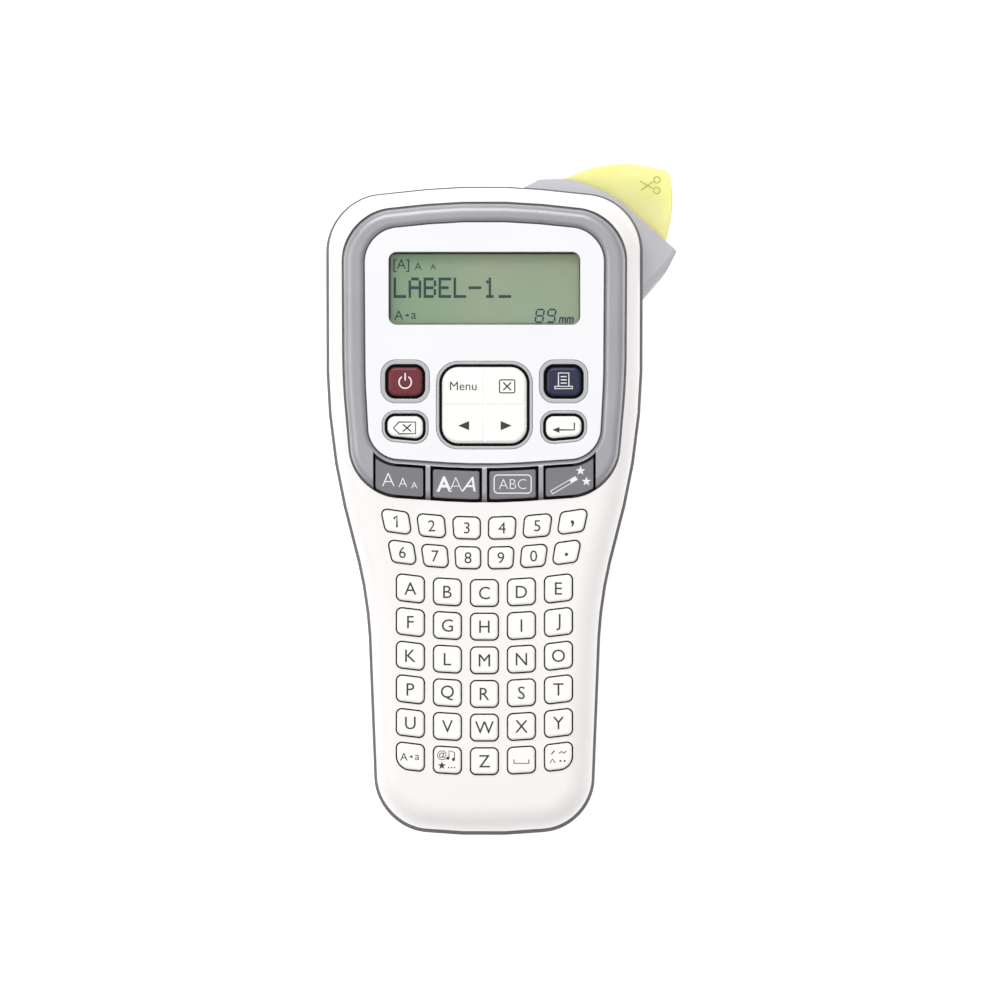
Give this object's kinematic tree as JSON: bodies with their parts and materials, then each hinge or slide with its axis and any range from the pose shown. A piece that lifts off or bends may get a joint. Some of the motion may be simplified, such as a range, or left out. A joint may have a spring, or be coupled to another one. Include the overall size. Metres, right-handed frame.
{
  "type": "handheld label maker",
  "caption": "Handheld label maker with keyboard, green display, thumb-lever tape cutter at the head corner, and a removable back cover over its tape cassette and cells.",
  "frame": {"origin": "on the flat resting face of the back, on the centre line between the two long sides, 100.2 mm below the top of the head", "axes": "+Z out of the face with the display and keys, +Y towards the head, +X to the right when the display is read"},
  "size_m": [0.1081, 0.2069, 0.0539],
  "materials": {
    "front_white": "fine matte moulded",
    "panel_white": "satin",
    "case_grey": "fine matte moulded",
    "ring_silver": "satin silver paint",
    "window_clear": "clear",
    "lcd_green": "satin",
    "black_plastic": "matte",
    "board_green": "solder mask",
    "contact_sheet": "matte",
    "power_red": "satin",
    "print_blue": "satin",
    "key_cream": "satin",
    "key_grey": "satin",
    "lever_lime": "translucent",
    "steel": "plain",
    "heat_sink": "plain",
    "gear_nylon": "matte",
    "roller_rubber": "matte",
    "cassette_grey": "satin",
    "label_white": "satin",
    "ribbon_black": "gloss",
    "cell_jacket": "printed film"
  },
  "bodies": {
    "case": {"rear_case": "case_grey", "front_case": "front_white", "bezel_ring": "ring_silver", "display_panel": "panel_white", "display_window": "window_clear", "lcd_cell": "lcd_green", "lcd_holder": "black_plastic", "main_board": "board_green", "key_contact_sheet": "contact_sheet", "cutter_lever_pin": "steel", "cutter_spring": "steel", "head_pin": "steel", "feed_motor": "steel", "mechanism_plate": "steel", "battery_contacts_left": "steel", "battery_contacts_right": "steel", "dc_inlet": "black_plastic", "case_screw_left": "steel", "case_screw_right": "steel"},
    "power_key": {"power_key": "power_red"},
    "print_key": {"print_key": "print_blue"},
    "backspace_key": {"backspace_key": "key_cream"},
    "enter_key": {"enter_key": "key_cream"},
    "navigation_key": {"navigation_key": "key_cream"},
    "text_size_key": {"text_size_key": "key_grey"},
    "text_style_key": {"text_style_key": "key_grey"},
    "frame_key": {"frame_key": "key_grey"},
    "decoration_key": {"decoration_key": "key_grey"},
    "number_keys_upper": {"number_keys_upper": "key_cream"},
    "number_keys_lower": {"number_keys_lower": "key_cream"},
    "letter_keys_1": {"letter_keys_1": "key_cream"},
    "letter_keys_2": {"letter_keys_2": "key_cream"},
    "letter_keys_3": {"letter_keys_3": "key_cream"},
    "letter_keys_4": {"letter_keys_4": "key_cream"},
    "letter_keys_5": {"letter_keys_5": "key_cream"},
    "letter_keys_6": {"letter_keys_6": "key_cream"},
    "lever": {"cutter_lever": "lever_lime"},
    "blade": {"blade_carrier": "black_plastic", "cutter_blade": "steel"},
    "head_arm": {"print_head": "contact_sheet", "head_heat_sink": "heat_sink"},
    "platen": {"platen_shaft": "steel", "platen_roller": "roller_rubber", "platen_gear": "gear_nylon"},
    "reduction": {"reduction_gear": "gear_nylon"},
    "motor_rotor": {"motor_pinion": "steel"},
    "ribbon_drive": {"ribbon_drive_gear": "gear_nylon"},
    "cover": {"back_cover": "case_grey"},
    "cassette": {"cassette_case": "cassette_grey", "cassette_lid": "cassette_grey", "label_tape": "label_white"},
    "tape_roll": {"label_tape_roll": "label_white"},
    "ribbon_supply": {"ribbon_supply_spool": "ribbon_black"},
    "ribbon_takeup": {"ribbon_takeup_spool": "ribbon_black"},
    "batteries": {"battery_1": "cell_jacket", "battery_2": "cell_jacket", "battery_3": "cell_jacket", "battery_4": "cell_jacket", "battery_5": "cell_jacket", "battery_6": "cell_jacket"}
  },
  "joints": [
    {"name": "power_key_press", "type": "slide", "parent": "case", "child": "power_key", "axis": [0, 0, -1], "range_m": [0, 0.001], "stiffness_N_per_m": 300, "springref_m": -0.0005},
    {"name": "print_key_press", "type": "slide", "parent": "case", "child": "print_key", "axis": [0, 0, -1], "range_m": [0, 0.001], "stiffness_N_per_m": 300, "springref_m": -0.0005},
    {"name": "backspace_key_press", "type": "slide", "parent": "case", "child": "backspace_key", "axis": [0, 0, -1], "range_m": [0, 0.001], "stiffness_N_per_m": 300, "springref_m": -0.0005},
    {"name": "enter_key_press", "type": "slide", "parent": "case", "child": "enter_key", "axis": [0, 0, -1], "range_m": [0, 0.001], "stiffness_N_per_m": 300, "springref_m": -0.0005},
    {"name": "navigation_key_press", "type": "slide", "parent": "case", "child": "navigation_key", "axis": [0, 0, -1], "range_m": [0, 0.001], "stiffness_N_per_m": 300, "springref_m": -0.0005},
    {"name": "text_size_key_press", "type": "slide", "parent": "case", "child": "text_size_key", "axis": [0, 0, -1], "range_m": [0, 0.001], "stiffness_N_per_m": 300, "springref_m": -0.0005},
    {"name": "text_style_key_press", "type": "slide", "parent": "case", "child": "text_style_key", "axis": [0, 0, -1], "range_m": [0, 0.001], "stiffness_N_per_m": 300, "springref_m": -0.0005},
    {"name": "frame_key_press", "type": "slide", "parent": "case", "child": "frame_key", "axis": [0, 0, -1], "range_m": [0, 0.001], "stiffness_N_per_m": 300, "springref_m": -0.0005},
    {"name": "decoration_key_press", "type": "slide", "parent": "case", "child": "decoration_key", "axis": [0, 0, -1], "range_m": [0, 0.001], "stiffness_N_per_m": 300, "springref_m": -0.0005},
    {"name": "number_keys_upper_press", "type": "slide", "parent": "case", "child": "number_keys_upper", "axis": [0, 0, -1], "range_m": [0, 0.001], "stiffness_N_per_m": 300, "springref_m": -0.0005},
    {"name": "number_keys_lower_press", "type": "slide", "parent": "case", "child": "number_keys_lower", "axis": [0, 0, -1], "range_m": [0, 0.001], "stiffness_N_per_m": 300, "springref_m": -0.0005},
    {"name": "letter_keys_1_press", "type": "slide", "parent": "case", "child": "letter_keys_1", "axis": [0, 0, -1], "range_m": [0, 0.001], "stiffness_N_per_m": 300, "springref_m": -0.0005},
    {"name": "letter_keys_2_press", "type": "slide", "parent": "case", "child": "letter_keys_2", "axis": [0, 0, -1], "range_m": [0, 0.001], "stiffness_N_per_m": 300, "springref_m": -0.0005},
    {"name": "letter_keys_3_press", "type": "slide", "parent": "case", "child": "letter_keys_3", "axis": [0, 0, -1], "range_m": [0, 0.001], "stiffness_N_per_m": 300, "springref_m": -0.0005},
    {"name": "letter_keys_4_press", "type": "slide", "parent": "case", "child": "letter_keys_4", "axis": [0, 0, -1], "range_m": [0, 0.001], "stiffness_N_per_m": 300, "springref_m": -0.0005},
    {"name": "letter_keys_5_press", "type": "slide", "parent": "case", "child": "letter_keys_5", "axis": [0, 0, -1], "range_m": [0, 0.001], "stiffness_N_per_m": 300, "springref_m": -0.0005},
    {"name": "letter_keys_6_press", "type": "slide", "parent": "case", "child": "letter_keys_6", "axis": [0, 0, -1], "range_m": [0, 0.001], "stiffness_N_per_m": 300, "springref_m": -0.0005},
    {"name": "lever_turn", "type": "hinge", "parent": "case", "child": "lever", "pos_m": [0.026, 0.0984, 0.0195], "axis": [0, 0, 1], "range_deg": [-8.6, 0], "stiffness_Nm_per_rad": 0.2, "springref_deg": 11.46},
    {"name": "blade_slide", "type": "slide", "parent": "case", "child": "blade", "axis": [-0.6534, -0.757, 0], "range_m": [0, 0.0046]},
    {"name": "head_swing", "type": "hinge", "parent": "case", "child": "head_arm", "pos_m": [0.03438, 0.08988, 0.0125], "axis": [0, 0, 1], "range_deg": [0, 5], "stiffness_Nm_per_rad": 0.1, "springref_deg": -17.19},
    {"name": "platen_spin", "type": "hinge", "parent": "case", "child": "platen", "pos_m": [0.03461, 0.07944, 0.0125], "axis": [0, 0, 1], "continuous": true},
    {"name": "reduction_spin", "type": "hinge", "parent": "case", "child": "reduction", "pos_m": [0.03227, 0.06614, 0.03], "axis": [0, 0, 1], "continuous": true},
    {"name": "motor_spin", "type": "hinge", "parent": "case", "child": "motor_rotor", "pos_m": [0.03829, 0.05323, 0.03], "axis": [0, 0, 1], "continuous": true},
    {"name": "ribbon_drive_spin", "type": "hinge", "parent": "case", "child": "ribbon_drive", "pos_m": [0.01911, 0.07379, 0.03], "axis": [0, 0, 1], "continuous": true},
    {"name": "cover_lift", "type": "slide", "parent": "case", "child": "cover", "axis": [0, 0, -1], "range_m": [0, 0.06]},
    {"name": "cassette_lift", "type": "slide", "parent": "case", "child": "cassette", "axis": [0, 0, -1], "range_m": [0, 0.03]},
    {"name": "tape_roll_spin", "type": "hinge", "parent": "cassette", "child": "tape_roll", "pos_m": [-0.01969, 0.06504, 0.0125], "axis": [0, 0, 1], "continuous": true},
    {"name": "ribbon_supply_spin", "type": "hinge", "parent": "cassette", "child": "ribbon_supply", "pos_m": [0.00631, 0.04804, 0.0125], "axis": [0, 0, 1], "continuous": true},
    {"name": "ribbon_takeup_spin", "type": "hinge", "parent": "cassette", "child": "ribbon_takeup", "pos_m": [0.01911, 0.07379, 0.0125], "axis": [0, 0, 1], "continuous": true},
    {"name": "batteries_lift", "type": "slide", "parent": "case", "child": "batteries", "axis": [0, 0, -1], "range_m": [0, 0.03]}
  ],
  "couplings": [
    {"joint": "blade_slide", "follows": "lever_turn", "m_per_rad": -0.03},
    {"joint": "reduction_spin", "follows": "platen_spin", "ratio": -2},
    {"joint": "motor_spin", "follows": "platen_spin", "ratio": 5.6},
    {"joint": "ribbon_drive_spin", "follows": "platen_spin", "ratio": -1.2},
    {"joint": "ribbon_takeup_spin", "follows": "platen_spin", "ratio": -1.2},
    {"joint": "ribbon_supply_spin", "follows": "platen_spin", "ratio": -0.6},
    {"joint": "tape_roll_spin", "follows": "platen_spin", "ratio": 0.28571},
    {"joint": "cassette_lift", "follows": "cover_lift", "ratio": 0.5},
    {"joint": "batteries_lift", "follows": "cover_lift", "ratio": 0.5}
  ]
}
